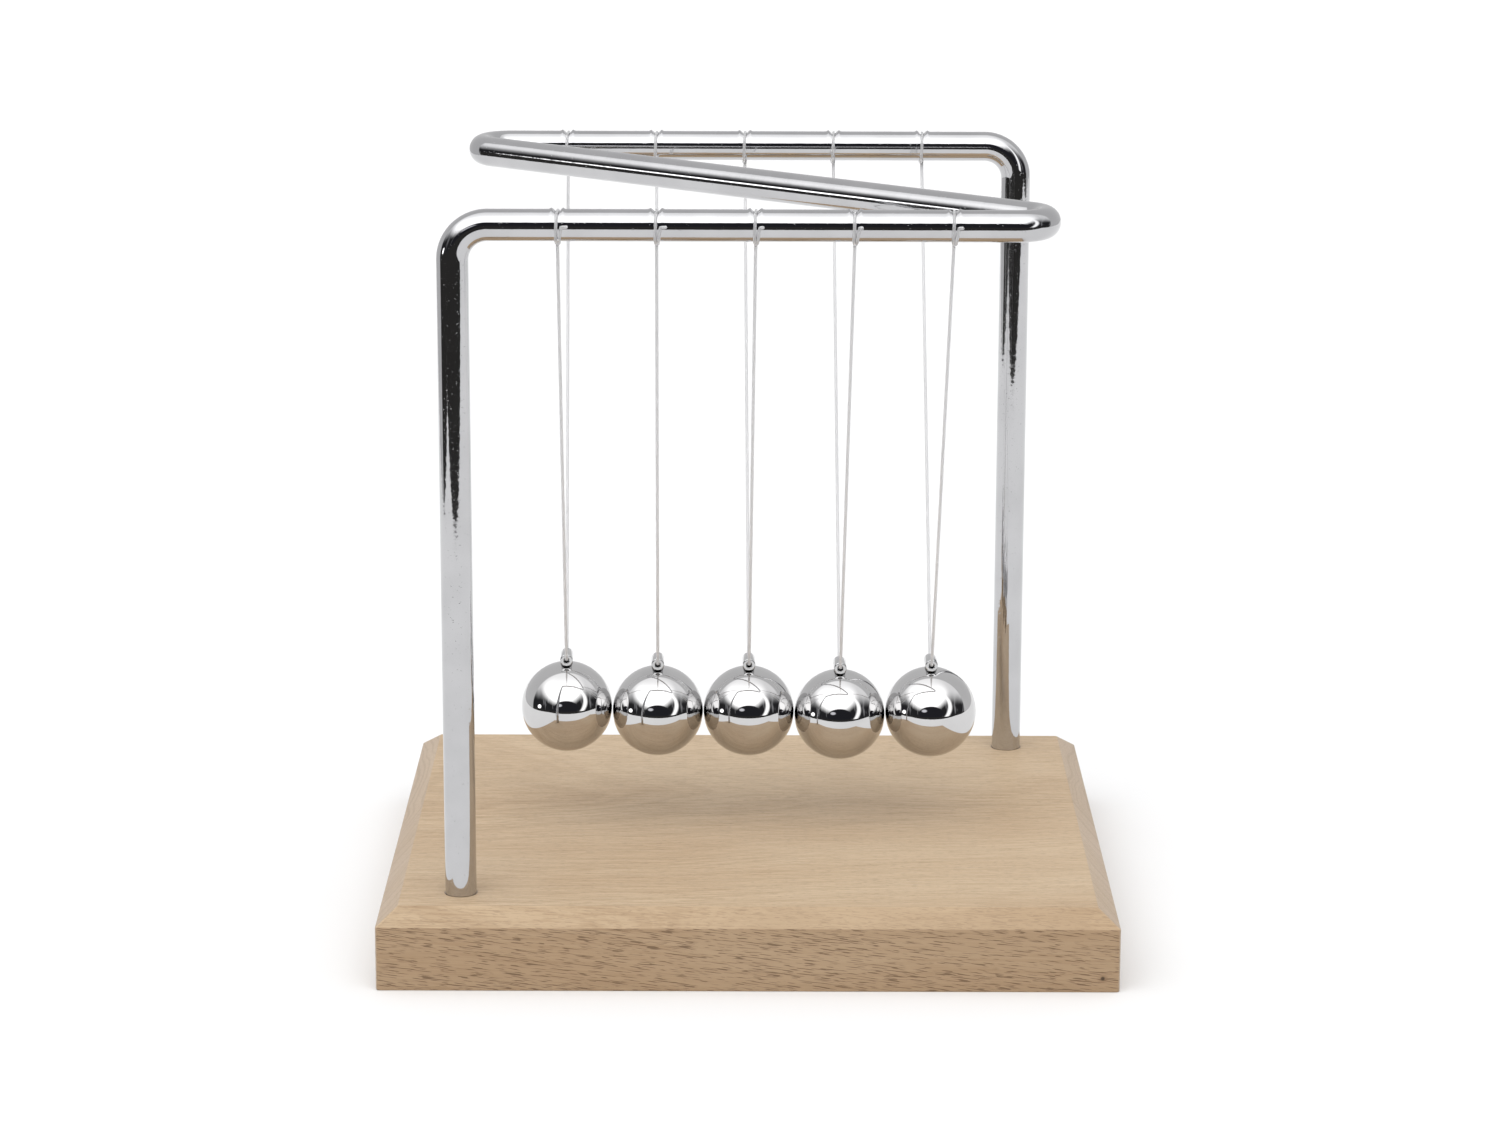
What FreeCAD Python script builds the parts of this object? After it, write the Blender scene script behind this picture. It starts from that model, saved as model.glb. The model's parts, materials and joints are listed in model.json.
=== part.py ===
"""A desk Newton's cradle: five steel balls hung from one bent steel rod on a beech board.

Millimetres. Origin at the middle of the board's underside, +X along the row of balls to the right,
+Y from the front rail to the rear rail, +Z up.
"""
import FreeCAD
import Part
import math
import os

Vec = FreeCAD.Vector
UP = Vec(0, 0, 1)
ALONG = Vec(1, 0, 0)
BALLS = range(1, 6)

# Board
board_width = 172.0
board_depth = 152.0
board_thick = 19.0
bevel_run = 5.0
bevel_drop = 3.8
board_edge_round = 0.6

# Bent rod: post, front rail, slanting bar, rear rail, post
rod_dia = 7.3
rail_gap = 122.0          # between the axes of the front and rear rails
rail_height = 176.5       # rail axes above the table
post_reach = 67.0         # each post's axis from the middle of the board
tip_reach = 66.75         # the rod's axis at the outermost point of a Z bend
post_bend_radius = 8.0
z_bend_radius = 6.5

# Fixing of each post: blind socket, screw and washer in a counterbore from below
socket_depth = 10.0
counterbore_dia = 10.0
counterbore_depth = 4.5
screw_hole_dia = 4.5
screw_dia = 4.0
thread_clearance = 0.02
screw_length = 13.0
screw_head_dia = 8.0
screw_head_height = 2.6
cross_width = 1.1
cross_length = 4.6
cross_depth = 1.5
washer_dia = 9.0
washer_hole_dia = 4.3
washer_thick = 1.0
tapped_spare = 2.0        # tapped hole beyond the screw's tip

# Balls and the small tube welded on top of each
ball_dia = 22.2
ball_pitch = 22.3
ball_height = 46.0        # ball centres above the table, before each ball's own drop
ball_drops = (-1.0, 0.0, 0.0, 0.85, 0.15)   # hand-tied lines leave the balls a little uneven
tube_dia = 3.1
tube_bore = 1.3
tube_length = 6.4
tube_seat = 0.3           # how deep the tube sits in the ball

# Nylon lines and the knots that tie them in the rails' notches
line_dia = 0.75
line_gap = 0.02
mouth_bend_radius = 0.6
knot_turn_offset = 0.42
knot_tail = 1.3
knot_tail_dia = 0.62       # pulled tight, so a little thinner than the line
knot_tail_drop = 0.9
pivot_gap = 0.21
notch_shift = 1.34        # front notches to the right of the balls, rear notches to the left
notch_depth = 1.15
notch_half_width = 1.05

# Worked out from the values above
rod_r = rod_dia / 2
rail_y = rail_gap / 2
ball_r = ball_dia / 2
line_r = line_dia / 2
socket_floor = board_thick - socket_depth
turn_r = rod_r + line_gap + line_r
pivot_z = rail_height - turn_r - line_r - pivot_gap
pivot_half_gap = math.hypot(rail_y, notch_shift)
swing_skew = math.degrees(math.atan2(notch_shift, rail_y))


def cylinder(radius, height, base, axis=UP):
    return Part.makeCylinder(radius, height, base, axis)


def box(size_x, size_y, size_z, centre_base):
    corner = centre_base - Vec(size_x / 2, size_y / 2, 0)
    return Part.makeBox(size_x, size_y, size_z, corner)


def rounded_path(points, radius):
    """Straight runs through the points, joined by tangent arcs of one radius or one each."""
    radii = radius if isinstance(radius, (list, tuple)) else [radius] * (len(points) - 2)
    edges = []
    start = points[0]
    for before, corner, after, arc_r in zip(points, points[1:], points[2:], radii):
        back = (before - corner).normalize()
        ahead = (after - corner).normalize()
        half_angle = back.getAngle(ahead) / 2
        reach = arc_r / math.tan(half_angle)
        inward = (back + ahead).normalize()
        arc_mid = corner + inward * (arc_r / math.sin(half_angle) - arc_r)
        arc_start = corner + back * reach
        arc_end = corner + ahead * reach
        edges.append(Part.LineSegment(start, arc_start).toShape())
        edges.append(Part.Arc(arc_start, arc_mid, arc_end).toShape())
        start = arc_end
    edges.append(Part.LineSegment(start, points[-1]).toShape())
    return Part.Wire(edges)


def round_bar(path, radius):
    """A round solid swept along a path that starts with a straight run."""
    first = path.Edges[0]
    start = first.valueAt(first.FirstParameter)
    heading = first.tangentAt(first.FirstParameter)
    profile = Part.Wire(Part.Circle(start, heading, radius).toShape())
    return path.makePipeShell([profile], True, False)


def rectangle(size_x, size_y, z):
    x = size_x / 2
    y = size_y / 2
    corners = [Vec(-x, -y, z), Vec(x, -y, z), Vec(x, y, z), Vec(-x, y, z), Vec(-x, -y, z)]
    return Part.makePolygon(corners)


def post_places():
    """The front-left and rear-right posts' axes, on the table."""
    return {"front": Vec(-post_reach, -rail_y, 0), "rear": Vec(post_reach, rail_y, 0)}


def base_board():
    side_height = board_thick - bevel_drop
    block = Part.makeBox(board_width, board_depth, side_height,
                         Vec(-board_width / 2, -board_depth / 2, 0))
    edges = [e for e in block.Edges
             if abs(e.CenterOfMass.z - side_height) > side_height / 4]
    block = block.makeFillet(board_edge_round, edges)
    top = Part.makeLoft([rectangle(board_width, board_depth, side_height),
                         rectangle(board_width - 2 * bevel_run, board_depth - 2 * bevel_run,
                                   board_thick)], True, True)
    column = Part.makeBox(board_width, board_depth, board_thick,
                          Vec(-board_width / 2, -board_depth / 2, 0))
    upright = [e for e in column.Edges if abs(e.tangentAt(e.FirstParameter).z) > 0.9]
    top = top.common(column.makeFillet(board_edge_round, upright))
    board = block.fuse(top).removeSplitter()
    for place in post_places().values():
        board = board.cut(cylinder(rod_r, socket_depth, place + UP * socket_floor))
        board = board.cut(cylinder(screw_hole_dia / 2, socket_floor, place))
        board = board.cut(cylinder(counterbore_dia / 2, counterbore_depth, place))
    return board


def notch_cutter(x, y):
    """A V as wide as the notch at the rod's top, right across the rod."""
    overshoot = 0.5
    half = notch_half_width * (1 + overshoot / notch_depth)
    top = rail_height + rod_r
    corners = [Vec(x - half, y - rod_r, top + overshoot),
               Vec(x + half, y - rod_r, top + overshoot),
               Vec(x, y - rod_r, top - notch_depth),
               Vec(x - half, y - rod_r, top + overshoot)]
    return Part.Face(Part.makePolygon(corners)).extrude(Vec(0, rod_dia, 0))


def ball_x(number):
    return (number - 3) * ball_pitch


def notch_x(number, side):
    """side is -1 on the front rail and +1 on the rear rail."""
    return ball_x(number) - side * notch_shift


def rod_frame():
    """The bent rod. Turned half round about Z it falls on itself."""
    centre_x = tip_reach - z_bend_radius
    centre_y = rail_y - z_bend_radius
    slant = (math.atan2(centre_y, centre_x)
             - math.asin(z_bend_radius / math.hypot(centre_x, centre_y)))
    corner_x = rail_y / math.tan(slant)
    half = [Vec(-post_reach, -rail_y, socket_floor),
            Vec(-post_reach, -rail_y, rail_height),
            Vec(corner_x, -rail_y, rail_height)]
    other_half = [Vec(-p.x, -p.y, p.z) for p in reversed(half)]
    radii = [post_bend_radius, z_bend_radius, z_bend_radius, post_bend_radius]
    path = rounded_path(half + other_half, radii)
    rod = round_bar(path, rod_r)
    expected = path.Length * math.pi * rod_r ** 2
    print(f"rod {path.Length:.1f} mm long, volume {rod.Volume / expected:.4f} of section x length")
    tapped = screw_length - (socket_floor - counterbore_depth) + washer_thick + tapped_spare
    for place in post_places().values():
        rod = rod.cut(cylinder(screw_dia / 2 + thread_clearance, tapped, place + UP * socket_floor))
    for side in (-1, 1):
        for number in BALLS:
            rod = rod.cut(notch_cutter(notch_x(number, side), side * rail_y))
    return rod


def washer(place):
    seat = place + UP * (counterbore_depth - washer_thick)
    disc = cylinder(washer_dia / 2, washer_thick, seat)
    return disc.cut(cylinder(washer_hole_dia / 2, washer_thick, seat))


def screw(place):
    """A pan-head screw with a cross recess, its thread drawn plain."""
    head_top = counterbore_depth - washer_thick
    head_bottom = head_top - screw_head_height
    head = cylinder(screw_head_dia / 2, screw_head_height, place + UP * head_bottom)
    rim = [e for e in head.Edges if abs(e.CenterOfMass.z - head_bottom) < 0.01]
    head = head.makeFillet(1.0, rim)
    for size_x, size_y in ((cross_length, cross_width), (cross_width, cross_length)):
        head = head.cut(box(size_x, size_y, cross_depth, place + UP * head_bottom))
    return head.fuse(cylinder(screw_dia / 2, screw_length, place + UP * head_top)).removeSplitter()


def ball_centre(number):
    return Vec(ball_x(number), 0, ball_height - ball_drops[number - 1])


def tube_centre(number):
    return ball_centre(number) + UP * (ball_r + tube_dia / 2 - tube_seat)


def turned(shape, number):
    """From the plane x = 0 to the ball's own plane, through its two notches."""
    moved = shape.copy()
    moved.rotate(Vec(), UP, swing_skew)
    moved.translate(Vec(ball_x(number), 0, 0))
    return moved


def tube_bar(number, radius):
    z = tube_centre(number).z
    return cylinder(radius, tube_length, Vec(0, -tube_length / 2, z), Vec(0, 1, 0))


def ball(number):
    sphere = Part.makeSphere(ball_r, Vec(0, 0, ball_centre(number).z))
    return turned(sphere.cut(tube_bar(number, tube_dia / 2)), number)


def hanger_tube(number):
    tube = tube_bar(number, tube_dia / 2).cut(tube_bar(number, tube_bore / 2))
    return turned(tube, number)


def line(number):
    """From the front notch down, through the tube along the top of its bore, and up to the rear."""
    bore_line_z = tube_centre(number).z + tube_bore / 2 - line_gap - line_r
    steepness = math.atan2(pivot_z - bore_line_z, pivot_half_gap - tube_length / 2)
    mouth = tube_length / 2 + mouth_bend_radius * math.tan(steepness / 2)
    path = rounded_path([Vec(0, -pivot_half_gap, pivot_z), Vec(0, -mouth, bore_line_z),
                         Vec(0, mouth, bore_line_z), Vec(0, pivot_half_gap, pivot_z)],
                        mouth_bend_radius)
    solid = round_bar(path, line_r)
    print(f"line {number}: {path.Length:.1f} mm long, mouth bends {mouth_bend_radius} mm radius,"
          f" volume {solid.Volume / (path.Length * math.pi * line_r ** 2):.4f} of section x length")
    return turned(solid, number)


def front_knot(number):
    """Two turns of line round the front rail with a cut tail at the front, to the right."""
    centre = Vec(notch_x(number, -1), -rail_y, rail_height)
    turns = [Part.makeTorus(turn_r, line_r, centre + ALONG * offset, ALONG)
             for offset in (-knot_turn_offset, knot_turn_offset)]
    outer_y = math.sqrt(turn_r ** 2 - knot_tail_drop ** 2)
    tail_start = centre + Vec(-knot_turn_offset, -outer_y, -knot_tail_drop)
    tail = cylinder(knot_tail_dia / 2, knot_tail + 2 * knot_turn_offset, tail_start, ALONG)
    return tail.fuse(turns)


def rear_knot(number):
    """The front knot of the ball's opposite number, turned half round about Z."""
    knot = front_knot(len(BALLS) + 1 - number)
    knot.rotate(Vec(), UP, 180)
    return knot


def check_solid(name, shape):
    """One closed solid, which is what every piece here is."""
    if not shape.isValid() or len(shape.Solids) != 1:
        raise ValueError(f"{name}: {len(shape.Solids)} solids, valid {shape.isValid()}")
    return shape.Solids[0]


def pieces():
    made = {"base_board": base_board(), "rod_frame": rod_frame()}
    for end, place in post_places().items():
        made[f"{end}_screw"] = screw(place)
        made[f"{end}_washer"] = washer(place)
    for number in BALLS:
        made[f"ball_{number}"] = ball(number)
        made[f"hanger_tube_{number}"] = hanger_tube(number)
        made[f"line_{number}"] = line(number)
        made[f"front_knot_{number}"] = front_knot(number)
        made[f"rear_knot_{number}"] = rear_knot(number)
    return made


def main():
    os.makedirs("parts", exist_ok=True)
    for name, shape in pieces().items():
        check_solid(name, shape).exportStep(f"parts/{name}.step")
    print(f"pivots {pivot_z:.2f} mm up, planes turned {swing_skew:.3f} degrees")


main()
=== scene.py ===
"""A Newton's cradle: one bent chrome rod on a beech board, and five steel balls on nylon lines."""
import json
import math

import bmesh
import bpy
from mathutils import Matrix, Vector


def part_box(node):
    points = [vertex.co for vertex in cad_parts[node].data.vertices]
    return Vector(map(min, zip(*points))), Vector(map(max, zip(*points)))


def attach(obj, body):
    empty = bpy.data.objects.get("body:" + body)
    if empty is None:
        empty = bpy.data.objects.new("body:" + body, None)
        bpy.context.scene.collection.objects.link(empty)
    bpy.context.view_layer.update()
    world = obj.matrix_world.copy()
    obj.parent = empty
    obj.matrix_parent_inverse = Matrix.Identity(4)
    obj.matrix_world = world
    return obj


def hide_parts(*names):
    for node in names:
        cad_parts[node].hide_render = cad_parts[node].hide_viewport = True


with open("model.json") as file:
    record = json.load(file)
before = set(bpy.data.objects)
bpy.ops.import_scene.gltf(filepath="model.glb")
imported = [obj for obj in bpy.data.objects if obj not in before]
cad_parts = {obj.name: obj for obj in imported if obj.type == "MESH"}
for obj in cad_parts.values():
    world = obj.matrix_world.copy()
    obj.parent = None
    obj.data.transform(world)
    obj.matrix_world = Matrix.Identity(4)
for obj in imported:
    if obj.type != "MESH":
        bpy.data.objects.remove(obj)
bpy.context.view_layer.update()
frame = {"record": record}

# ---------------------------------------------------------------- sizes, in metres

MM = 0.001
UP = Vector((0, 0, 1))
NUMBERS = range(1, 6)
SIDES = {"front": -1, "rear": 1}

board_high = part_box("base_board")[1]
board_top = board_high.z
bevel_run = 5 * MM
bevel_drop = 3.8 * MM
board_corner_r = 0.6 * MM
board_arris_r = 0.35 * MM

rod_r = 3.65 * MM
rail_y = 61 * MM
rail_z = 176.5 * MM
post_reach = 67 * MM
tip_reach = 66.75 * MM
post_bend_r = 8 * MM
z_bend_r = 6.5 * MM
socket_floor = 9 * MM
socket_rim_r = 0.25 * MM
counterbore_r = 5 * MM
counterbore_depth = 4.5 * MM
screw_hole_r = 2.25 * MM
tapped_r = 2.02 * MM
tapped_depth = 11.5 * MM

ball_r = 11.1 * MM
tube_r = 1.55 * MM
bore_r = 0.65 * MM
tube_length = 6.4 * MM
tube_seat = 0.3 * MM
tube_lip_r = 0.28 * MM
weld_contact = 0.55 * MM
weld_toe = 1.0 * MM
weld_setback = 1.5 * MM

line_r = 0.375 * MM
line_gap = 0.02 * MM
notch_shift = 1.34 * MM
notch_depth = 1.15 * MM
notch_half_width = 1.15 * MM
notch_root_r = 0.12 * MM
lip_height = 0.28 * MM
lip_width = 0.36 * MM

# along the front rail from the left; the rear rail is the same, turned half round
knot_tails = (1.3 * MM, 1.2 * MM, 0.7 * MM, 0.6 * MM, 0.8 * MM)

pivot_z = Vector(frame["record"]["behaviour"]["joints"][0]["pos_m"]).z
swing_skew = math.atan2(notch_shift, rail_y)
pivot_half_gap = math.hypot(rail_y, notch_shift)


def measured_ball_centre(number):
    low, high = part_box(f"ball_{number}")
    return Vector(((low.x + high.x) / 2, 0, low.z + ball_r))


ball_centres = {number: measured_ball_centre(number) for number in NUMBERS}


def tube_centre(number):
    return ball_centres[number] + UP * (ball_r + tube_r - tube_seat)


def notch_x(number, side):
    return ball_centres[number].x - side * notch_shift


# ---------------------------------------------------------------- node and mesh helpers


def set_input(tree, node, key, value):
    """Links an input to a socket, or sets it to a value."""
    if isinstance(value, bpy.types.NodeSocket):
        tree.links.new(value, node.inputs[key])
    else:
        node.inputs[key].default_value = value


def add(tree, kind, inputs=None, **settings):
    """A new node, with its inputs linked to sockets or set to values."""
    made = tree.nodes.new(kind)
    for key, value in settings.items():
        setattr(made, key, value)
    for key, value in (inputs or {}).items():
        set_input(tree, made, key, value)
    return made


def maths(tree, operation, a, b=0.0):
    return add(tree, "ShaderNodeMath", {0: a, 1: b}, operation=operation).outputs[0]


def remap(tree, value, low, high, to_low=0.0, to_high=1.0):
    """value taken smoothly from one range to another, and held at its ends."""
    inputs = {"Value": value, "From Min": low, "From Max": high, "To Min": to_low, "To Max": to_high}
    made = add(tree, "ShaderNodeMapRange", inputs, interpolation_type="SMOOTHSTEP")
    return made.outputs["Result"]


def mixed(tree, factor, a, b):
    """Colour a, going over to colour b as the factor goes from 0 to 1."""
    factor_input, a_input, b_input, colour_output = 0, 6, 7, 2
    made = add(tree, "ShaderNodeMix", {factor_input: factor}, data_type="RGBA")
    for key, colour in ((a_input, a), (b_input, b)):
        is_socket = isinstance(colour, bpy.types.NodeSocket)
        set_input(tree, made, key, colour if is_socket else (*colour, 1))
    return made.outputs[colour_output]


def noise(tree, vector, scale, detail=2.0, roughness=0.5):
    inputs = {"Vector": vector, "Scale": scale, "Detail": detail, "Roughness": roughness}
    return add(tree, "ShaderNodeTexNoise", inputs).outputs[0]


def noise_along(tree, value, scale, detail=2.0):
    """Noise that varies along one number only."""
    made = add(tree, "ShaderNodeTexNoise", {"W": value, "Scale": scale, "Detail": detail},
               noise_dimensions="1D")
    return made.outputs[0]


def stretched(tree, vector, scale):
    return add(tree, "ShaderNodeMapping", {"Vector": vector, "Scale": scale}).outputs[0]


def in_mm(tree, coords):
    """The object's own coordinates in mm."""
    return stretched(tree, coords.outputs["Object"], (1 / MM, 1 / MM, 1 / MM))


def new_material(name):
    """An empty Principled material, with its tree and its shader."""
    made = bpy.data.materials.new(name)
    made.use_nodes = True
    tree = made.node_tree
    tree.nodes.clear()
    shader = add(tree, "ShaderNodeBsdfPrincipled")
    add(tree, "ShaderNodeOutputMaterial", {"Surface": shader.outputs[0]})
    return made, tree, shader


def mesh_object(name, vertices, faces, material, crease=30):
    """A smooth-shaded mesh whose edges are sharp past the crease angle."""
    mesh = bpy.data.meshes.new(name)
    mesh.from_pydata([tuple(v) for v in vertices], [], faces)
    mesh.validate()
    fixed = bmesh.new()
    fixed.from_mesh(mesh)
    bmesh.ops.recalc_face_normals(fixed, faces=fixed.faces)
    fixed.to_mesh(mesh)
    fixed.free()
    mesh.materials.append(material)
    mesh.shade_smooth()
    mesh.set_sharp_from_angle(angle=math.radians(crease))
    made = bpy.data.objects.new(name, mesh)
    bpy.context.scene.collection.objects.link(made)
    return made


def circle(centre, radius, sides):
    """Points round a level circle."""
    angles = [2 * math.pi * step / sides for step in range(sides)]
    return [centre + Vector((radius * math.cos(angle), radius * math.sin(angle), 0)) for angle in angles]


def ring_faces(rings, sides, wrap=False):
    """Quads between rings of vertices that follow one another in the list."""
    faces = []
    for ring in range(rings if wrap else rings - 1):
        near = ring * sides
        far = (ring + 1) % rings * sides
        for side in range(sides):
            after = (side + 1) % sides
            faces.append((near + side, near + after, far + after, far + side))
    return faces


def closed_faces(rings, sides):
    """The same quads, with a face at each end."""
    last = (rings - 1) * sides
    return ring_faces(rings, sides) + [tuple(range(sides)), tuple(range(last, last + sides))]


def swept_rings(points, radii, sides):
    """Rings of vertices round a path, carried along it without twist."""
    tangents = []
    for before, after in zip([points[0]] + points[:-1], points[1:] + [points[-1]]):
        tangents.append((after - before).normalized())
    side_way = tangents[0].orthogonal().normalized()
    vertices = []
    for point, tangent, radius in zip(points, tangents, radii):
        side_way = (side_way - tangent * side_way.dot(tangent)).normalized()
        up_way = tangent.cross(side_way)
        for step in range(sides):
            angle = 2 * math.pi * step / sides
            vertices.append(point + (side_way * math.cos(angle) + up_way * math.sin(angle)) * radius)
    return vertices


def strand(name, points, radius, material):
    """A round strand along a path, with ends rounded off."""
    sides = 16
    ahead = (points[0] - points[1]).normalized()
    behind = (points[-1] - points[-2]).normalized()
    angles = [math.radians(angle) for angle in (80, 55, 30)]
    first = [points[0] + ahead * radius * math.sin(angle) for angle in angles]
    last = [points[-1] + behind * radius * math.sin(angle) for angle in reversed(angles)]
    cap_radii = [radius * math.cos(angle) for angle in angles]
    route = first + points + last
    radii = cap_radii + [radius] * len(points) + cap_radii[::-1]
    vertices = swept_rings(route, radii, sides)
    return mesh_object(name, vertices, closed_faces(len(route), sides), material, crease=60)


def arc_run(corner, before, after, radius, steps):
    """Points of the arc of this radius that rounds a corner of a path."""
    back = (before - corner).normalized()
    ahead = (after - corner).normalized()
    half_angle = back.angle(ahead) / 2
    centre = corner + (back + ahead).normalized() * (radius / math.sin(half_angle))
    start = corner + back * (radius / math.tan(half_angle)) - centre
    turn = math.pi - 2 * half_angle
    axis = back.cross(ahead)
    return [centre + Matrix.Rotation(-turn * step / steps, 3, axis) @ start for step in range(steps + 1)]


# ---------------------------------------------------------------- materials


def beech_material():
    """Pale beech: growth rings along X, short dark ray flecks, greyer end grain and one pin knot, with
    painted shade darkening the faces turned to front and back.
    """
    pale, tan, cream = (0.590, 0.444, 0.290), (0.525, 0.376, 0.234), (0.615, 0.481, 0.327)
    ring_brown, fibre_brown = (0.41, 0.283, 0.170), (0.382, 0.259, 0.152)
    # Painted shade: the first colour on the next line darkens the front and back faces and the bevels,
    # standing in for their dimmer light.
    side_shade_brown, fleck_brown = (0.342, 0.222, 0.126), (0.130, 0.075, 0.042)
    end_pale, end_pore = (0.530, 0.432, 0.345), (0.400, 0.306, 0.226)
    end_wide_ring, end_fine_ring = (0.430, 0.330, 0.238), (0.330, 0.245, 0.170)
    halo_brown, knot_black = (0.230, 0.135, 0.075), (0.060, 0.038, 0.025)

    made, tree, shader = new_material("beech")
    coords = add(tree, "ShaderNodeTexCoord")
    per_mm = in_mm(tree, coords)
    split = add(tree, "ShaderNodeSeparateXYZ", {"Vector": per_mm})
    facing = add(tree, "ShaderNodeSeparateXYZ", {"Vector": coords.outputs["Normal"]})
    end_face = remap(tree, maths(tree, "ABSOLUTE", facing.outputs["X"]), 0.3, 0.7)
    facing_y = maths(tree, "ABSOLUTE", facing.outputs["Y"])
    # Painted shade mask: faces turned to front or back, which are darkened in colour for their dimmer
    # light.
    side_shade_mask = remap(tree, facing_y, 0.30, 0.98)
    sawn_face = remap(tree, facing_y, 0.70, 0.98)

    heart_y, heart_z = 40.0, -150.0
    grain_slope, fleck_slope = 0.045, 0.12
    slope = maths(tree, "MULTIPLY", split.outputs["X"], grain_slope)
    wander = noise(tree, stretched(tree, per_mm, (0.009, 0.022, 0.022)), 1.0, 2.0)
    across = maths(tree, "SUBTRACT", split.outputs["Y"], heart_y)
    above = maths(tree, "ADD", maths(tree, "SUBTRACT", split.outputs["Z"], heart_z), slope)
    squared = maths(tree, "ADD", maths(tree, "MULTIPLY", across, across),
                    maths(tree, "MULTIPLY", above, above))
    ring_place = maths(tree, "ADD", maths(tree, "SQRT", squared), maths(tree, "MULTIPLY", wander, 14.0))
    wide_rings = noise_along(tree, ring_place, 0.12, 1.0)
    fine_rings = noise_along(tree, ring_place, 1.1, 3.0)
    level = {"X": split.outputs["X"], "Y": split.outputs["Y"]}
    grain = add(tree, "ShaderNodeCombineXYZ", {**level, "Z": above}).outputs[0]
    fibres = noise(tree, stretched(tree, grain, (0.06, 1.9, 1.9)), 1.0, 4.0, 0.66)
    patches = noise(tree, stretched(tree, per_mm, (0.010, 0.022, 0.022)), 1.0, 2.0)

    body = mixed(tree, remap(tree, wide_rings, 0.3, 0.7), tan, pale)
    body = mixed(tree, remap(tree, fine_rings, 0.42, 0.62, 0.0, 0.38), body, ring_brown)
    body = mixed(tree, remap(tree, fibres, 0.46, 0.66, 0.0, 0.62), body, fibre_brown)
    body = mixed(tree, remap(tree, patches, 0.35, 0.65, 0.0, 0.40), body, cream)

    fall = maths(tree, "MULTIPLY", split.outputs["X"], fleck_slope)
    fallen = {**level, "Z": maths(tree, "ADD", split.outputs["Z"], fall)}
    fleck_lay = add(tree, "ShaderNodeCombineXYZ", fallen).outputs[0]
    fleck_cells = noise(tree, stretched(tree, fleck_lay, (0.25, 4.2, 4.2)), 1.0, 1.0)
    fleck_zones = noise(tree, stretched(tree, grain, (0.03, 0.22, 0.22)), 1.0, 1.0)
    fleck_level = maths(tree, "ADD", fleck_cells, maths(tree, "MULTIPLY", fleck_zones, 0.12))
    flecks = remap(tree, fleck_level, 0.628, 0.688)
    fleck_depth = maths(tree, "ADD", 0.22, maths(tree, "MULTIPLY", sawn_face, 0.52))
    # Painted shade: the front and back faces and the bevels are darkened in colour.
    body = mixed(tree, maths(tree, "MULTIPLY", side_shade_mask, 0.62), body, side_shade_brown)
    body = mixed(tree, maths(tree, "MULTIPLY", flecks, fleck_depth), body, fleck_brown)

    pores = noise(tree, stretched(tree, per_mm, (0.8, 3.2, 3.2)), 1.0, 2.0)
    end_tone = mixed(tree, remap(tree, pores, 0.45, 0.65, 0.0, 0.6), end_pale, end_pore)
    end_tone = mixed(tree, remap(tree, wide_rings, 0.35, 0.65, 0.0, 0.55), end_tone, end_wide_ring)
    end_tone = mixed(tree, remap(tree, fine_rings, 0.48, 0.62, 0.0, 0.40), end_tone, end_fine_ring)
    body = mixed(tree, maths(tree, "MULTIPLY", end_face, 0.85), body, end_tone)

    knot_place = Vector((82.0, -76.0, 3.4))
    away = add(tree, "ShaderNodeVectorMath", {0: per_mm, 1: knot_place}, operation="DISTANCE")
    halo = remap(tree, away.outputs["Value"], 0.5, 1.6, 0.45, 0.0)
    body = mixed(tree, halo, body, halo_brown)
    knot = remap(tree, away.outputs["Value"], 0.25, 0.65, 0.9, 0.0)
    body = mixed(tree, knot, body, knot_black)

    set_input(tree, shader, "Base Color", body)
    set_input(tree, shader, "Roughness", remap(tree, fibres, 0.3, 0.7, 0.40, 0.55))
    set_input(tree, shader, "Specular IOR Level", 0.3)
    relief = maths(tree, "SUBTRACT", fibres, maths(tree, "MULTIPLY", flecks, 0.8))
    bump = add(tree, "ShaderNodeBump", {"Strength": 0.35, "Distance": 0.05 * MM, "Height": relief})
    set_input(tree, shader, "Normal", bump.outputs[0])
    return made


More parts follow.
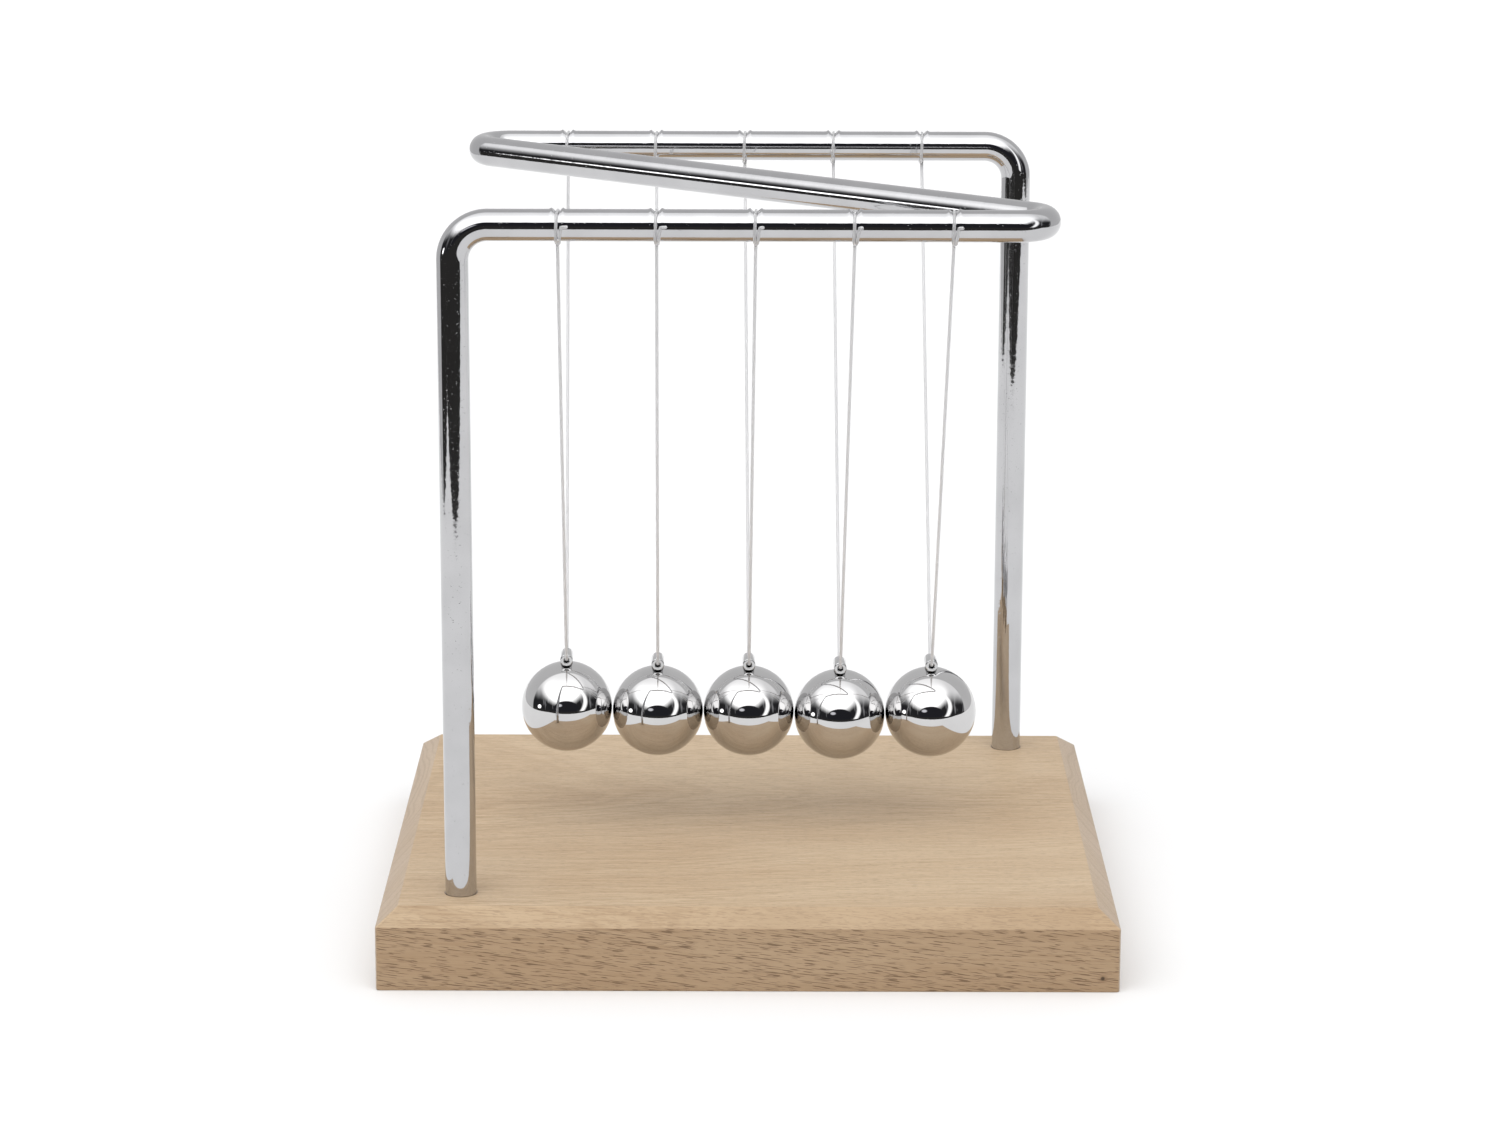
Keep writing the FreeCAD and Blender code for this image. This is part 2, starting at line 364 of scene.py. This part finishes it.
def metal_material(name, tint, roughness, ripple, ripple_size, speckle=0.0, painted_shade=None):
    """Bright metal with a faint haze and a slightly rippled surface, both from noise.

    Ripple is the depth of the ripples in mm, and speckle how deep pits go in parts of that.
    The last argument is painted shade: a near-black oval standing for shadow in a crevice or hollow, given
    by its middle and radii in parts of the piece's box.
    """
    # Near-black colour of the painted shade.
    painted_shade_black = (0.03, 0.03, 0.03)
    made, tree, shader = new_material(name)
    coords = add(tree, "ShaderNodeTexCoord")
    per_mm = in_mm(tree, coords)
    haze = noise(tree, per_mm, 0.09, 3.0)
    grime = noise(tree, per_mm, 1.4, 3.0)
    darker = tuple(channel * 0.93 for channel in tint)
    colour = mixed(tree, remap(tree, haze, 0.35, 0.7), tint, darker)
    # Painted shade: a near-black oval mixed into the colour, standing for shadow in a crevice or hollow.
    if painted_shade:
        middle, radii = painted_shade
        offset = add(tree, "ShaderNodeVectorMath", {0: coords.outputs["Generated"], 1: middle},
                     operation="SUBTRACT")
        scaled = add(tree, "ShaderNodeVectorMath", {0: offset.outputs[0], 1: radii}, operation="DIVIDE")
        reach = add(tree, "ShaderNodeVectorMath", {0: scaled.outputs[0]}, operation="LENGTH")
        colour = mixed(tree, remap(tree, reach.outputs["Value"], 0.88, 1.08), painted_shade_black, colour)
    set_input(tree, shader, "Base Color", colour)
    set_input(tree, shader, "Metallic", 1.0)
    set_input(tree, shader, "Roughness", remap(tree, grime, 0.3, 0.75, roughness, roughness * 1.9))
    waves = noise(tree, per_mm, 1 / ripple_size, 2.0)
    height = waves
    if speckle:
        pits = noise(tree, per_mm, 1.9, 1.0)
        height = maths(tree, "SUBTRACT", waves, remap(tree, pits, 0.70, 0.78, 0.0, speckle))
    bump = add(tree, "ShaderNodeBump", {"Strength": 1.0, "Distance": ripple * MM, "Height": height})
    set_input(tree, shader, "Normal", bump.outputs[0])
    return made


def nylon_material(name, clearness, roughness):
    """Drawn nylon: glossy, a little cloudy, and partly see-through."""
    made, tree, shader = new_material(name)
    per_mm = in_mm(tree, add(tree, "ShaderNodeTexCoord"))
    cloud = noise(tree, per_mm, 0.06, 2.0)
    set_input(tree, shader, "Base Color", mixed(tree, cloud, (0.93, 0.93, 0.94), (0.89, 0.89, 0.90)))
    set_input(tree, shader, "Roughness", remap(tree, cloud, 0.3, 0.7, roughness, roughness * 1.3))
    set_input(tree, shader, "Transmission Weight", clearness)
    set_input(tree, shader, "IOR", 1.53)
    set_input(tree, shader, "Specular IOR Level", 0.35)
    return made


def floor_material():
    made, tree, shader = new_material("studio_floor")
    set_input(tree, shader, "Base Color", (0.88, 0.88, 0.88, 1))
    set_input(tree, shader, "Roughness", 0.9)
    set_input(tree, shader, "Specular IOR Level", 0.1)
    return made


# ---------------------------------------------------------------- light, floor and camera


def oval(tree, across, upward, centre, radii, softness):
    """1 inside an ellipse and 0 outside it, with a soft edge."""
    beside = maths(tree, "DIVIDE", maths(tree, "SUBTRACT", across, centre[0]), radii[0])
    above = maths(tree, "DIVIDE", maths(tree, "SUBTRACT", upward, centre[1]), radii[1])
    squared = maths(tree, "ADD", maths(tree, "MULTIPLY", beside, beside),
                    maths(tree, "MULTIPLY", above, above))
    return remap(tree, maths(tree, "SQRT", squared), 1 - softness, 1 + softness, 1.0, 0.0)


def directed(tree, direction, axis):
    """How far the direction goes along an axis."""
    product = add(tree, "ShaderNodeVectorMath", {0: direction, 1: axis}, operation="DOT_PRODUCT")
    return product.outputs["Value"]


def mirror_place(tree, direction):
    """Where the room in this direction would show in a mirror ball that is looked down on by the tilt.

    It is given as right and up from the ball's middle, where the front of the room shows, to 1 at its rim.
    """
    tilt = math.radians(13.9)
    front = directed(tree, direction, (0, -math.cos(tilt), math.sin(tilt)))
    raised = directed(tree, direction, (0, math.sin(tilt), math.cos(tilt)))
    sideways = directed(tree, direction, (1, 0, 0))
    half_front = maths(tree, "MULTIPLY", maths(tree, "ADD", front, 1.0), 0.5)
    half_front = maths(tree, "MAXIMUM", half_front, 0.002)
    doubled = maths(tree, "MULTIPLY", maths(tree, "SQRT", half_front), 2.0)
    return maths(tree, "DIVIDE", sideways, doubled), maths(tree, "DIVIDE", raised, doubled)


def dark_room(tree, across, upward):
    """A dark room with pale clutter, going over to a white ceiling with a ragged edge."""
    near_black = (0.020, 0.020, 0.022)
    place = add(tree, "ShaderNodeCombineXYZ", {"X": across, "Y": upward}).outputs[0]
    clutter = noise(tree, stretched(tree, place, (16.0, 3.0, 1.0)), 1.0, 2.0)
    streaks = noise(tree, stretched(tree, place, (5.0, 1.2, 1.0)), 1.0, 2.0)
    room = mixed(tree, remap(tree, clutter, 0.50, 0.68), near_black, (0.22, 0.22, 0.23))
    room = mixed(tree, remap(tree, clutter, 0.70, 0.74), room, (1.1, 1.1, 1.15))
    room = mixed(tree, remap(tree, across, -0.56, -0.50), near_black, room)
    ragged = maths(tree, "MULTIPLY", maths(tree, "SUBTRACT", streaks, 0.5), 0.22)
    lifted = maths(tree, "ADD", upward, ragged)
    return mixed(tree, remap(tree, lifted, 0.12, 0.46), room, (0.88, 0.88, 0.89))


def studio_world():
    """A grey backdrop behind, and in front a dark room with a big soft light, a window and a lamp."""
    strength = 1.2
    world = bpy.data.worlds.new("studio")
    world.use_nodes = True
    tree = world.node_tree
    tree.nodes.clear()
    direction = add(tree, "ShaderNodeTexCoord").outputs["Generated"]
    height = directed(tree, direction, (0, 0, 1))
    across, upward = mirror_place(tree, direction)
    seen = dark_room(tree, across, upward)

    soft_light = oval(tree, across, upward, (-0.08, 0.40), (0.41, 0.35), 0.26)
    fading = mixed(tree, remap(tree, upward, 0.30, 0.68), (2.0, 2.0, 2.0), (1.15, 1.15, 1.16))
    seen = mixed(tree, soft_light, seen, fading)
    onlooker = oval(tree, across, upward, (0.0, -0.04), (0.27, 0.16), 0.07)
    seen = mixed(tree, onlooker, seen, (0.018, 0.018, 0.022))
    lens = oval(tree, across, upward, (-0.15, 0.02), (0.055, 0.03), 0.35)
    seen = mixed(tree, lens, seen, (0.75, 0.75, 0.8))
    window_ring = oval(tree, across, upward, (0.02, 0.10), (0.44, 0.36), 0.06)
    window_hole = oval(tree, across, upward, (-0.02, 0.11), (0.40, 0.36), 0.06)
    window = maths(tree, "MULTIPLY", window_ring, maths(tree, "SUBTRACT", 1.0, window_hole))
    window = maths(tree, "MULTIPLY", window, remap(tree, across, 0.12, 0.22))
    seen = mixed(tree, window, seen, (1.5, 1.5, 1.5))
    lamp = oval(tree, across, upward, (-0.59, -0.01), (0.035, 0.04), 0.25)
    seen = mixed(tree, lamp, seen, (3.0, 3.0, 3.0))
    seen = mixed(tree, remap(tree, height, -0.012, 0.004), (0.030, 0.029, 0.028), seen)
    backdrop = oval(tree, across, upward, (0.0, 0.0), (0.735, 0.735), 0.012)
    seen = mixed(tree, backdrop, (0.56, 0.56, 0.565), seen)

    ray = add(tree, "ShaderNodeLightPath")
    shown = mixed(tree, ray.outputs["Is Camera Ray"], seen, (1.0, 1.0, 1.0))
    light = add(tree, "ShaderNodeBackground", {"Color": shown, "Strength": strength})
    add(tree, "ShaderNodeOutputWorld", {"Surface": light.outputs[0]})
    bpy.context.scene.world = world


def studio_floor():
    """The pale sheet that the cradle stands on. It ends half a metre in front and to the left."""
    left_x, right_x, near_y, far_y = -0.55, 1.1, -0.51, 1.6
    corners = [(left_x, near_y, 0), (right_x, near_y, 0), (right_x, far_y, 0), (left_x, far_y, 0)]
    made = mesh_object("studio_floor", corners, [(0, 1, 2, 3)], floor_material())


def photographer_camera():
    """The camera stands about a metre in front and a third of a metre up, and looks 14 degrees down."""
    place = Vector((0.635, -1023.28, 337.15)) * MM
    pitch = math.radians(13.929)
    yaw = math.radians(-0.023)
    roll = math.radians(0.153)
    sensor_width = 36.0
    focal_length = 103.8744
    forward = Vector((math.sin(yaw) * math.cos(pitch), math.cos(yaw) * math.cos(pitch), -math.sin(pitch)))
    level_right = forward.cross(UP).normalized()
    level_up = level_right.cross(forward)
    right = level_right * math.cos(roll) + level_up * math.sin(roll)
    up = level_up * math.cos(roll) - level_right * math.sin(roll)
    data = bpy.data.cameras.new("camera")
    data.sensor_width = sensor_width
    data.lens = focal_length
    camera = bpy.data.objects.new("camera", data)
    camera.matrix_world = Matrix.Translation(place) @ Matrix((right, up, -forward)).transposed().to_4x4()
    bpy.context.scene.collection.objects.link(camera)
    bpy.context.scene.camera = camera


# ---------------------------------------------------------------- pieces


def line(number, material):
    """One nylon line, from the front rail through the ball's tube to the rear rail."""
    place = ball_centres[number]
    bore_line_z = tube_centre(number).z + bore_r - line_gap - line_r
    mouth_gap = 0.3 * MM
    mouth = tube_length / 2 + mouth_gap
    rise = pivot_z - bore_line_z
    run = pivot_half_gap - mouth
    steepness = math.atan2(rise, run)
    uphill = Vector((0, math.cos(steepness), math.sin(steepness)))
    corner = Vector((0, mouth, bore_line_z))
    level_steps = (1.0 * MM, 0.1 * MM)
    uphill_steps = (0.4 * MM, 6 * 2 * line_r)
    rear_half = [corner - Vector((0, step, 0)) for step in level_steps]
    rear_half += [corner + uphill * step for step in uphill_steps]
    rear_half.append(Vector((0, pivot_half_gap, pivot_z)))
    front_half = [Vector((p.x, -p.y, p.z)) for p in reversed(rear_half)]
    turn = Matrix.Rotation(swing_skew, 3, "Z")
    route = [turn @ point + Vector((place.x, 0, 0)) for point in front_half + rear_half]

    curve = bpy.data.curves.new(f"nylon_line_{number}", "CURVE")
    curve.dimensions = "3D"
    spline = curve.splines.new("NURBS")
    spline.points.add(len(route) - 1)
    for point, where in zip(spline.points, route):
        point.co = (*where, 1)
    spline.order_u = 3
    spline.use_endpoint_u = True
    spline.resolution_u = 12
    curve.bevel_depth = line_r
    curve.bevel_resolution = 5
    curve.use_fill_caps = True
    curve.materials.append(material)
    made = bpy.data.objects.new(f"nylon_line_{number}", curve)
    bpy.context.scene.collection.objects.link(made)
    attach(made, f"pendulum_{number}")
    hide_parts(f"line_{number}")


def rod_stations():
    """Points along the rod's axis, from the front post's foot to the rear one's, close at the notches."""
    centre_x = tip_reach - z_bend_r
    centre_y = rail_y - z_bend_r
    slant = math.atan2(centre_y, centre_x) - math.asin(z_bend_r / math.hypot(centre_x, centre_y))
    corner_x = rail_y / math.tan(slant)
    half = [Vector((-post_reach, -rail_y, socket_floor)),
            Vector((-post_reach, -rail_y, rail_z)),
            Vector((corner_x, -rail_y, rail_z))]
    corners = half + [Vector((-p.x, -p.y, p.z)) for p in reversed(half)]
    bends = [post_bend_r, z_bend_r, z_bend_r, post_bend_r]
    coarse_step = 5 * MM
    fine_step = 0.13 * MM
    fine_reach = 2.9 * MM
    stations = [corners[0]]
    for before, corner, after, bend_r in zip(corners, corners[1:], corners[2:], bends):
        arc = arc_run(corner, before, after, bend_r, 40)
        stations += straight_stations(stations[-1], arc[0], coarse_step, fine_step, fine_reach)
        stations += arc
    stations += straight_stations(stations[-1], corners[-1], coarse_step, fine_step, fine_reach)
    return stations + [corners[-1]]


def straight_stations(start, end, coarse_step, fine_step, fine_reach):
    """Points between the ends of a straight run. On a rail they are close together at each notch."""
    length = (end - start).length
    ahead = (end - start) / length
    count = math.ceil(length / coarse_step)
    places = [length * step / count for step in range(1, count)]
    if abs(ahead.x) > 0.999:
        side = 1 if start.y > 0 else -1
        notches = [(notch_x(number, side) - start.x) / ahead.x for number in NUMBERS]
        places = [p for p in places if min(abs(p - notch) for notch in notches) > fine_reach + fine_step]
        steps = round(fine_reach / fine_step)
        places += [notch + fine_step * step for notch in notches for step in range(-steps, steps + 1)]
    return [start + ahead * place for place in sorted(places)]


def notched(vertex):
    """A vertex of the rod's surface, moved by the V notches on the rails and their raised lips."""
    height = vertex.z - rail_z
    side = 1 if vertex.y > 0 else -1
    if height < 0 or abs(abs(vertex.y) - rail_y) > rod_r + line_r:
        return vertex
    distance = min(abs(vertex.x - notch_x(number, side)) for number in NUMBERS)
    lip = lip_height * math.exp(-((distance - notch_half_width - lip_width / 2) / lip_width) ** 2)
    lip = lip * (height / rod_r) ** 3
    slope = (notch_depth + lip_height) / notch_half_width
    groove = rod_r - notch_depth - notch_root_r + slope * math.hypot(distance, notch_root_r)
    return Vector((vertex.x, vertex.y, rail_z + min(height + lip, groove)))


def rod_frame(material):
    """The bent rod, with its notches and the tapped hole in each foot."""
    sides = 96
    stations = rod_stations()
    vertices = [notched(v) for v in swept_rings(stations, [rod_r] * len(stations), sides)]
    made = mesh_object("chrome_rod", vertices, ring_faces(len(stations), sides), material, crease=50)
    close_feet(made, (stations[0], stations[-1]), sides)
    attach(made, "stand")
    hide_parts("rod_frame")


def close_feet(rod, feet, sides):
    """The flat end of each foot and the tapped hole in it."""
    foot_reach = 4 * rod_r
    mesh = bmesh.new()
    mesh.from_mesh(rod.data)
    open_edges = [edge for edge in mesh.edges if edge.is_boundary]
    for foot in feet:
        rim = [edge for edge in open_edges if (edge.verts[0].co - foot).length < foot_reach]
        mouth, bottom = [[mesh.verts.new(place) for place in circle(foot + UP * depth, tapped_r, sides)]
                         for depth in (0, tapped_depth)]
        hole_rim = []
        for step in range(sides):
            after = (step + 1) % sides
            hole_rim.append(mesh.edges.new((mouth[step], mouth[after])))
            mesh.faces.new((mouth[step], mouth[after], bottom[after], bottom[step]))
        mesh.faces.new(bottom)
        bmesh.ops.bridge_loops(mesh, edges=rim + hole_rim)
    bmesh.ops.recalc_face_normals(mesh, faces=mesh.faces)
    mesh.to_mesh(rod.data)
    mesh.free()
    rod.data.shade_smooth()
    rod.data.set_sharp_from_angle(angle=math.radians(50))


def rounded_rectangle(half_x, half_y, radius, z, steps=6):
    """Points round a rectangle with rounded corners, anticlockwise."""
    points = []
    for quarter, (sign_x, sign_y) in enumerate(((1, 1), (-1, 1), (-1, -1), (1, -1))):
        for step in range(steps + 1):
            angle = math.radians(90 * quarter + 90 * step / steps)
            points.append(Vector((sign_x * (half_x - radius) + radius * math.cos(angle),
                                  sign_y * (half_y - radius) + radius * math.sin(angle), z)))
    return points


def rounded_outline(corners, radius, steps):
    """An open outline of (inset, height) points with each inner corner rounded by one radius."""
    as_vectors = [Vector((inset, 0, height)) for inset, height in corners]
    outline = [as_vectors[0]]
    for before, corner, after in zip(as_vectors, as_vectors[1:], as_vectors[2:]):
        outline += arc_run(corner, before, after, radius, steps)
    outline.append(as_vectors[-1])
    return [(point.x, point.z) for point in outline]


def base_board(material):
    """The board, its arrises eased, with the rod's sockets and the screws' counterbores."""
    half_x, half_y = board_high.x, board_high.y
    flat_margin = 2 * MM
    outline = rounded_outline([(flat_margin, 0), (0, 0), (0, board_top - bevel_drop),
                               (bevel_run, board_top), (bevel_run + flat_margin, board_top)],
                              board_arris_r, 5)
    rings = [rounded_rectangle(half_x - inset, half_y - inset, board_corner_r, height)
             for inset, height in outline]
    vertices = [point for ring in rings for point in ring]
    made = mesh_object("beech_board", vertices, closed_faces(len(rings), len(rings[0])), material)
    for side in SIDES.values():
        post = Vector((side * post_reach, side * rail_y, 0))
        cut_round_hole(made, post, [(counterbore_r, -MM), (counterbore_r, counterbore_depth),
                                    (screw_hole_r, counterbore_depth), (screw_hole_r, socket_floor),
                                    (rod_r, socket_floor), (rod_r, board_top - socket_rim_r),
                                    (rod_r + socket_rim_r, board_top),
                                    (rod_r + socket_rim_r, board_top + MM)])
    made.data.set_sharp_from_angle(angle=math.radians(30))
    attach(made, "stand")
    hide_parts("base_board")


def cut_round_hole(board, place, profile):
    """Cuts a stepped round hole, given as (radius, height) pairs from below, out of the board."""
    sides = 64
    vertices = [point for radius, height in profile for point in circle(place + UP * height, radius, sides)]
    cutter = mesh_object("cutter", vertices, closed_faces(len(profile), sides), board.data.materials[0])
    cut = board.modifiers.new("hole", "BOOLEAN")
    cut.operation = "DIFFERENCE"
    cut.solver = "EXACT"
    cut.object = cutter
    bpy.context.view_layer.update()
    evaluated = board.evaluated_get(bpy.context.evaluated_depsgraph_get())
    result = bpy.data.meshes.new_from_object(evaluated)
    board.modifiers.clear()
    board.data = result
    bpy.data.objects.remove(cutter)


def welded(offset):
    """A point of the ball's surface, raised near the top to the bead that holds the tube."""
    beside = abs(offset.x)
    beyond = max(0.0, abs(offset.y) - tube_length / 2 + weld_setback)
    if offset.z < 0 or beside > weld_toe or beyond > weld_toe - weld_contact:
        return offset
    reach = math.hypot(max(0.0, beside - weld_contact), beyond) / (weld_toe - weld_contact)
    if reach >= 1:
        return offset
    under = min(beside, weld_contact)
    tube_under = ball_r + tube_r - tube_seat - math.sqrt(tube_r ** 2 - under ** 2)
    raised = max(0.0, tube_under - offset.z) * (1 - reach) ** 2
    return offset + UP * raised


def ball(number, material):
    """A steel ball, with the weld bead under its tube. Its rings are closest round the bead."""
    centre = ball_centres[number]
    segments = 160
    fine_step, fine_count, coarse_step = 0.4, 40, 1.5
    fine_end = fine_step * fine_count
    polar = [fine_step * step for step in range(1, fine_count + 1)]
    while polar[-1] < 178:
        polar.append(polar[-1] + min(coarse_step, 0.5 + 0.02 * (polar[-1] - fine_end)))
    turn = Matrix.Rotation(swing_skew, 3, "Z")
    vertices = []
    for angle in map(math.radians, polar):
        for step in range(segments):
            around = 2 * math.pi * step / segments
            offset = Vector((math.sin(angle) * math.cos(around), math.sin(angle) * math.sin(around),
                             math.cos(angle))) * ball_r
            vertices.append(centre + turn @ welded(offset))
    faces = ring_faces(len(polar), segments)
    top = len(vertices)
    vertices.append(centre + welded(UP * ball_r))
    vertices.append(centre - UP * ball_r)
    last = (len(polar) - 1) * segments
    for step in range(segments):
        after = (step + 1) % segments
        faces.append((top, step, after))
        faces.append((top + 1, last + after, last + step))
    made = mesh_object(f"steel_ball_{number}", vertices, faces, material, crease=60)
    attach(made, f"pendulum_{number}")
    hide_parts(f"ball_{number}")


def hanger_tube(number, material):
    """The short tube on top of a ball, its ends rounded outside and at the bore."""
    centre = tube_centre(number)
    end = tube_length / 2
    bore_lip_r = 0.2 * MM
    quarter = [math.radians(angle) for angle in range(0, 91, 15)]
    outer_r, outer_end = tube_r - tube_lip_r, end - tube_lip_r
    inner_r, inner_end = bore_r + bore_lip_r, end - bore_lip_r
    rear_end = [(outer_r + tube_lip_r * math.cos(a), outer_end + tube_lip_r * math.sin(a))
                for a in quarter]
    rear_end += [(inner_r - bore_lip_r * math.sin(a), inner_end + bore_lip_r * math.cos(a))
                 for a in quarter]
    profile = rear_end + [(radius, -place) for radius, place in reversed(rear_end)]
    segments = 72
    turn = Matrix.Rotation(swing_skew, 3, "Z")
    vertices = []
    for radius, place in profile:
        for step in range(segments):
            angle = 2 * math.pi * step / segments
            spot = Vector((radius * math.cos(angle), place, radius * math.sin(angle)))
            vertices.append(centre + turn @ spot)
    faces = ring_faces(len(profile), segments, wrap=True)
    made = mesh_object(f"tube_{number}", vertices, faces, material, crease=40)
    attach(made, f"pendulum_{number}")
    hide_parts(f"hanger_tube_{number}")


def wrap_point(angle, shift, outward, centre, spread):
    """A point on the line where it goes round the rail. The angle runs from below, up the outer side.

    The shift is along the rail, and the spread is how far the line stands off what it lies on.
    """
    reach = rod_r + line_gap + line_r + spread
    across = reach * math.sin(angle)
    height = -reach * math.cos(angle)
    wall = rod_r - notch_depth + abs(shift) * (notch_depth + lip_height) / notch_half_width
    in_notch = wall + line_r + spread
    return centre + Vector((shift, outward * across, min(height, in_notch)))


def knot(end, number, material):
    """A turn of line round the rail in its notch, a half hitch beside it, and a cut tail to one side."""
    outward = SIDES[end]
    centre = Vector((notch_x(number, outward), outward * rail_y, rail_z))
    tail = knot_tails[number - 1 if end == "front" else len(knot_tails) - number]
    right = -outward
    first_step, turn_steps, hitch_steps, tail_steps = 3, 48, 18, 4
    half_spread = 0.36 * MM
    start_lift = 0.16 * MM
    hitch_angle = math.radians(92)
    hitch_shift = 0.62 * MM
    hitch_lift = 0.14 * MM
    bottom = centre - UP * (rail_z - pivot_z)
    route = [bottom, bottom + UP * start_lift]
    for step in range(first_step, turn_steps + 1):
        part = step / turn_steps
        shift = half_spread * (2 * part - 1) * min(1.0, part * 8)
        lift = start_lift * max(0.0, 1 - part * 10)
        route.append(wrap_point(2 * math.pi * part, right * shift, outward, centre, lift))
    for step in range(1, hitch_steps + 1):
        part = step / hitch_steps
        shift = half_spread + hitch_shift * part ** 2
        lift = hitch_lift * math.sin(math.pi * part)
        route.append(wrap_point(hitch_angle * part, right * shift, outward, centre, lift))
    away = Vector((right * 0.9, outward * 0.4, 0.1)).normalized()
    for step in range(tail_steps):
        route.append(route[-1] + away * tail / tail_steps)
    made = strand(f"{end}_line_knot_{number}", route, line_r, material)
    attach(made, "stand")
    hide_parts(f"{end}_knot_{number}")


def refinish(node, material):
    """A CAD node that keeps its shape gets a better material."""
    made = bpy.data.objects[node]
    made.data.materials.clear()
    made.data.materials.append(material)


# ---------------------------------------------------------------- the scene

bpy.context.scene.view_settings.view_transform = "Standard"
photographer_camera()
nylon = nylon_material("nylon", 0.30, 0.32)
knotted_nylon = nylon_material("knotted_nylon", 0.55, 0.08)
for ball_number in NUMBERS:
    line(ball_number, nylon)

studio_world()
studio_floor()

base_board(beech_material())
rod_frame(metal_material("rod_chrome", (0.56, 0.56, 0.57), 0.035, 0.02, 3.0, 0.5))
# Painted shade: a near-black oval on top of each ball, round the tube's foot, stands for the shadowed
# crevice under the tube.
shade_half_width, shade_half_length, bore_shade_reach = 1.5 * MM, 4.1 * MM, 0.72 * MM
weld_crevice_shade = ((0.5, 0.5, 1.0), (shade_half_width / (2 * ball_r), shade_half_length / (2 * ball_r), 0.1))
ball_steel = metal_material("ball_steel", (0.635, 0.63, 0.63), 0.018, 0.002, 6.0, painted_shade=weld_crevice_shade)
# Painted shade: the tube's bore and inner lip are painted near-black, standing for the shadow inside the
# bore.
bore_shade = ((0.5, 0.5, 0.5), (bore_shade_reach / (2 * tube_r), 1.0, bore_shade_reach / (2 * tube_r)))
tube_chrome = metal_material("tube_chrome", (0.575, 0.575, 0.58), 0.05, 0.006, 1.5, painted_shade=bore_shade)
screw_steel = metal_material("screw_steel", (0.55, 0.55, 0.55), 0.28, 0.01, 0.6)
for ball_number in NUMBERS:
    ball(ball_number, ball_steel)
    hanger_tube(ball_number, tube_chrome)
    for rail_end in SIDES:
        knot(rail_end, ball_number, knotted_nylon)
for rail_end in SIDES:
    refinish(f"{rail_end}_screw", screw_steel)
    refinish(f"{rail_end}_washer", screw_steel)
